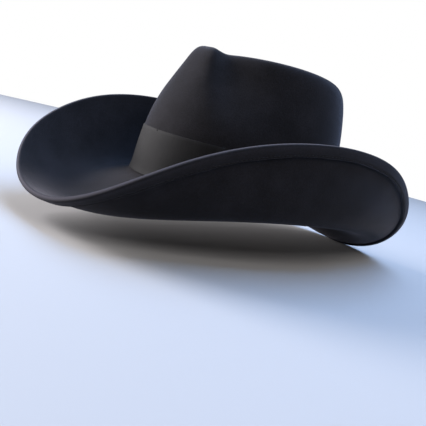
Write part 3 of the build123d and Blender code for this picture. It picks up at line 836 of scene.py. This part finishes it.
def sweatband_stitches():
    """Lockstitches through leather and tape, and the zigzag that closes the leather at the back."""
    def seam(heading):
        return Sheet(heading).wall(np.full(len(heading), SWEAT_SEAM), SWEAT_INSIDE - 0.22)

    start, end = seam_places(seam, SEAM_PITCH, SEAM_SHOWS, BACK)
    inwards = unit(plan_point(start, 0.0, 0.0) - plan_point(start, 1.0, 0.0))
    reach, rise = 1.2, 1.2
    closing = np.concatenate([np.arange(7.0, 13.0, 2 * rise), np.arange(25.0, 52.0, 2 * rise)])
    left = Sheet(np.full(len(closing), BACK - reach)).wall(closing, SWEAT_INSIDE - 0.05)
    right = Sheet(np.full(len(closing), BACK + reach)).wall(closing + rise, SWEAT_INSIDE - 0.05)
    forwards = np.tile([[0.0, -1.0, 0.0]], (len(closing), 1))
    piece = stitches("sweatband_stitches", np.concatenate([seam(start), left]),
                     np.concatenate([seam(end), right]), np.concatenate([inwards, forwards]),
                     radius=SEAM_THREAD, lift=0.3, material=LEATHER_THREAD)
    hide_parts("sweatband_stitching")


def sweatband_reed():
    """Round cord in the tape's fold, its ends butted at the back."""
    heading = BACK + np.linspace(0.3, 359.7, 720)
    sheet = Sheet(heading)
    ends = 1 - 0.5 * np.exp(-np.minimum(heading - heading[0], heading[-1] - heading) / 0.35)
    rows = []
    for phi in circle(12):
        r = REED_RADIUS * ends * (1 + 0.02 * np.sin(np.radians(heading) * 40 + phi))
        rows.append(sheet.wall(REED_HEIGHT + r * math.sin(phi), REED_DEPTH + r * math.cos(phi)))
    piece = ring_piece("reed", np.stack(rows), REED_LOOK, around=False)
    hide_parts("sweatband_reed")


def tape_section():
    """Section line of the reed tape (depth, z): down behind the leather, round the reed, up again."""
    back, r = REED_DEPTH - TAPE_RADIUS, TAPE_RADIUS * 1.13
    points = [(back, TAPE_TOP), (back, 6.0), (back, 1.0)]
    points += [(REED_DEPTH + r * math.cos(a), REED_HEIGHT + r * math.sin(a))
               for a in np.radians([160, 215, 270, 325, 20, 62])]
    front = TAPE_FRONT_DEPTH
    return points + [(front + 0.1, 0.6), (front, 2.5), (front, 6.0), (front, TAPE_TOP)]


def reed_tape():
    """Twill tape folded round the reed."""
    depth, z = smooth_path(tape_section())(np.linspace(0, 1, 66))
    run = unit(np.stack([np.gradient(depth), np.gradient(z)], 1))
    sheet = Sheet(all_round(420))
    pucker = 0.06 * np.sin(np.radians(sheet.heading) * 150)
    rows = []
    for shift, order in ((-TAPE / 2, 1), (TAPE / 2, -1)):
        for i in range(len(z))[::order]:
            level = np.full(len(sheet.heading), z[i] + shift * run[i, 0])
            rows.append(sheet.wall(level, depth[i] - shift * run[i, 1] + pucker * (z[i] < 0)))
    piece = ring_piece("reed_tape_fold", np.stack(rows), TAPE_LOOK)
    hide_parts("reed_tape")


def sweatband_bow():
    """Small satin bow over the leather's joint: two loops and a knot."""
    to_back = BACK - BOW_HEADING

    def pinch(turn):
        close = np.exp(-(np.abs(turn - to_back) / 2.2) ** 2)
        return 1 - 0.45 * close, 0.12 * close

    low, high = INNER_BOW_LEVEL - INNER_BOW_HALF_WIDTH, INNER_BOW_LEVEL + INNER_BOW_HALF_WIDTH
    for side, name in ((1, "inner_bow_loop_left"), (-1, "inner_bow_loop_right")):
        def path(u, side=side):
            angle = 2 * math.pi * (u - 0.02) * 0.96
            turn = side * (4.9 - 4.6 * np.cos(angle))
            open_up = 0.5 + 0.5 * np.minimum(np.abs(turn) / 3, 1)
            return to_back + turn, -5.72 - 0.62 * np.sin(angle) * open_up
        ribbon_on_path(name, path, low, high, 24, BOW_LOOK, pinch, INNER_BOW_RIBBON)

    rings, around = 13, 24
    phi = circle(around)
    x = np.linspace(-1, 1, rings)
    r = 1.7 * np.sqrt(np.maximum(1 - np.abs(x) ** 3.0, 0.05))
    distance = -6.0 - 0.55 * r[:, None] * np.cos(phi) * (1 + 0.12 * np.cos(5 * phi))
    z = INNER_BOW_LEVEL + 2.5 * x[:, None] + 0 * phi
    turn = BACK + 1.15 * r[:, None] * np.sin(phi)
    points = plan_point(turn, distance, z).reshape(1, rings, around, 3)
    faces = thread_faces(1, rings, around)
    knot = add_piece("inner_bow_knot", points, faces, BOW_LOOK)
    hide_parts("sweatband_bow")


def gathers(heading, count, seed):
    """Uneven small folds round the hat, about -1 to 1."""
    rng = np.random.default_rng(seed)
    a = np.radians(heading)
    waves = sum(rng.uniform(0.4, 1.0) * np.sin(a * k + rng.uniform(0, 6.28))
                for k in rng.integers(count // 2, count * 2, 7))
    return waves / 3.0


def lining_side():
    """Satin strip up the wall, softly gathered at its foot and at the tip seam."""
    sheet = Sheet(all_round(960))
    folds = gathers(sheet.heading, count=60, seed=3)
    levels = np.concatenate([[TIP_SEAM_HEIGHT - TIP_SEAM_GAP], np.linspace(85.0, LINING_LOW, 44)])
    outer, inner = [], []
    for z in levels:
        up = (z - LINING_LOW) / (TIP_SEAM_HEIGHT - LINING_LOW)
        soft = 0.22 * folds * (0.25 + 0.75 * up ** 3)
        slack = 0.5 * math.sin(math.pi * min(max((z - 50) / 36, 0), 1))
        t, depth = sheet.at_height(z), LINING_DEPTH + slack + soft + 0.1
        outer.append(sheet.offset(t, depth))
        inner.append(sheet.offset(t, depth + LINING))
    piece = ring_piece("lining_side_satin", np.stack(outer + inner[::-1]), SATIN_LOOK)
    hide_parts("lining_side")


def lining_tip():
    """Satin top panel, closed over the crease."""
    count = 70
    sheet = Sheet(all_round(480))
    folds = gathers(sheet.heading, count=50, seed=4)
    t = even_spread(sheet, sheet.at_height(TIP_SEAM_HEIGHT + TIP_SEAM_GAP), count)
    fade = np.exp(-9 * np.linspace(0, 1, count))[:, None]
    depth = LINING_DEPTH + 0.22 * folds * fade + 0.1
    outer, inner = (np.stack([sheet.offset(t[i], depth[i] + extra) for i in range(count)])
                    for extra in (0.0, LINING))
    points = np.concatenate([outer[::-1], inner])
    used, quads = weld_crease(points)
    points = points.reshape(-1, 3)[used]
    piece = add_piece("lining_tip_satin", points, [quads], SATIN_LOOK,
                      uv=points[quads.ravel(), :2])
    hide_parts("lining_tip")


def lining_piping():
    """Two-ply cord in the seam between side and tip."""
    sheet = Sheet(all_round(1400))
    depth = np.full(len(sheet.heading), PIPING_DEPTH)
    centre = sheet.offset(sheet.at_height(TIP_SEAM_HEIGHT), depth)
    ahead = unit(np.roll(centre, -1, 0) - np.roll(centre, 1, 0))
    side = unit(np.cross([0.0, 0.0, 1.0], ahead))
    up = np.cross(ahead, side)
    twist = np.radians(sheet.heading) * 130
    rows = []
    for phi in circle(12)[::-1]:
        r = PIPING_RADIUS * (0.88 + 0.12 * np.cos(2 * phi - twist))
        rows.append(centre + side * (r * math.cos(phi))[:, None] + up * (r * math.sin(phi))[:, None])
    piece = ring_piece("lining_seam_cord", np.stack(rows), PIPING_LOOK)
    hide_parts("lining_piping")


felt_hood()
welt_stitches()
hat_band()
band_bow()
bow_knot()
band_tacks()
sweatband()
sweatband_stitches()
sweatband_reed()
reed_tape()
sweatband_bow()
lining_side()
lining_tip()
lining_piping()


# ============================== camera, light and floor ==============================

PICTURE_SIDE, SENSOR_WIDTH = 426, 36.0
CAMERA_AZIMUTH, CAMERA_ELEVATION, CAMERA_ROLL = 47.30, 9.46, 14.31
CAMERA_DISTANCE, CAMERA_SCALE, AIM_RIGHT, AIM_UP = 593.33, 1.04, -9.16, -24.44
FLOOR_RADIUS, FLOOR_SIDES, FLOOR_GAP = 1.4, 128, 0.0005


def add_camera():
    """Camera at the hat's left front, a little above the brim."""
    a, e, r = (math.radians(v) for v in (CAMERA_AZIMUTH, CAMERA_ELEVATION, CAMERA_ROLL))
    back = Vector((math.sin(a) * math.cos(e), -math.cos(a) * math.cos(e), math.sin(e)))
    right = Vector((math.cos(a), math.sin(a), 0))
    up = back.cross(right)
    aim = right * AIM_RIGHT + up * AIM_UP
    axes = right * math.cos(r) + up * math.sin(r), up * math.cos(r) - right * math.sin(r), back
    data = bpy.data.cameras.new("camera")
    data.sensor_width = SENSOR_WIDTH
    data.lens = CAMERA_SCALE * CAMERA_DISTANCE / PICTURE_SIDE * SENSOR_WIDTH
    data.clip_start = 0.01
    camera = bpy.data.objects.new("camera", data)
    matrix = Matrix(axes).transposed().to_4x4()
    matrix.translation = (aim + back * CAMERA_DISTANCE) * MM
    camera.matrix_world = matrix
    bpy.context.scene.collection.objects.link(camera)
    bpy.context.scene.camera = camera


def add_light(name, azimuth, elevation, distance, size, power, colour):
    """Square soft light that faces the middle of the hat."""
    a, e = math.radians(azimuth), math.radians(elevation)
    middle = Vector((0, 0, 0.04))
    away = Vector((math.sin(a) * math.cos(e), -math.cos(a) * math.cos(e), math.sin(e)))
    data = bpy.data.lights.new(name, "AREA")
    data.shape, data.size, data.energy, data.color = "SQUARE", size, power, colour
    light = bpy.data.objects.new(name, data)
    light.location = middle + away * distance
    light.rotation_euler = away.to_track_quat("Z", "Y").to_euler()
    bpy.context.scene.collection.objects.link(light)


def add_floor():
    """Plain pale floor under the lowest point of the hat."""
    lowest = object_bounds()[0][2]
    rim = [(FLOOR_RADIUS * math.cos(a), FLOOR_RADIUS * math.sin(a), 0) for a in circle(FLOOR_SIDES)]
    mesh = bpy.data.meshes.new("floor")
    mesh.from_pydata(rim, [], [range(FLOOR_SIDES)])
    material, _, _ = shader("pale_floor", (0.36, 0.36, 0.36), 0.8)
    mesh.materials.append(material)
    floor = bpy.data.objects.new("floor", mesh)
    floor.location.z = lowest - FLOOR_GAP
    bpy.context.scene.collection.objects.link(floor)


def add_world():
    """White surroundings, which light the hat more softly than they look."""
    world = bpy.data.worlds.new("studio")
    bpy.context.scene.world = world
    world.use_nodes = True
    tree = world.node_tree
    soft = tree.nodes["Background"]
    soft.inputs["Color"].default_value = (1.0, 0.98, 1.0, 1)
    soft.inputs["Strength"].default_value = 0.10
    seen = tree.nodes.new("ShaderNodeBackground")
    seen.inputs["Color"].default_value = (1, 1, 1, 1)
    seen.inputs["Strength"].default_value = 1.0
    ray = tree.nodes.new("ShaderNodeLightPath")
    mix = tree.nodes.new("ShaderNodeMixShader")
    tree.links.new(ray.outputs["Is Camera Ray"], mix.inputs[0])
    tree.links.new(soft.outputs[0], mix.inputs[1])
    tree.links.new(seen.outputs[0], mix.inputs[2])
    tree.links.new(mix.outputs[0], tree.nodes["World Output"].inputs["Surface"])


add_camera()
add_world()
add_light("key", azimuth=-52, elevation=21, distance=1.5, size=0.9, power=54, colour=(1.0, 0.96, 0.98))
add_light("sky", azimuth=178, elevation=68, distance=1.6, size=1.4, power=52, colour=(0.38, 0.59, 1.0))
add_light("side", azimuth=84, elevation=44, distance=1.8, size=0.9, power=15, colour=(1.0, 0.95, 0.93))
add_light("back", azimuth=225, elevation=45, distance=1.7, size=1.2, power=6, colour=(0.85, 0.92, 1.0))
bpy.context.scene.view_settings.view_transform = "Standard"
add_floor()
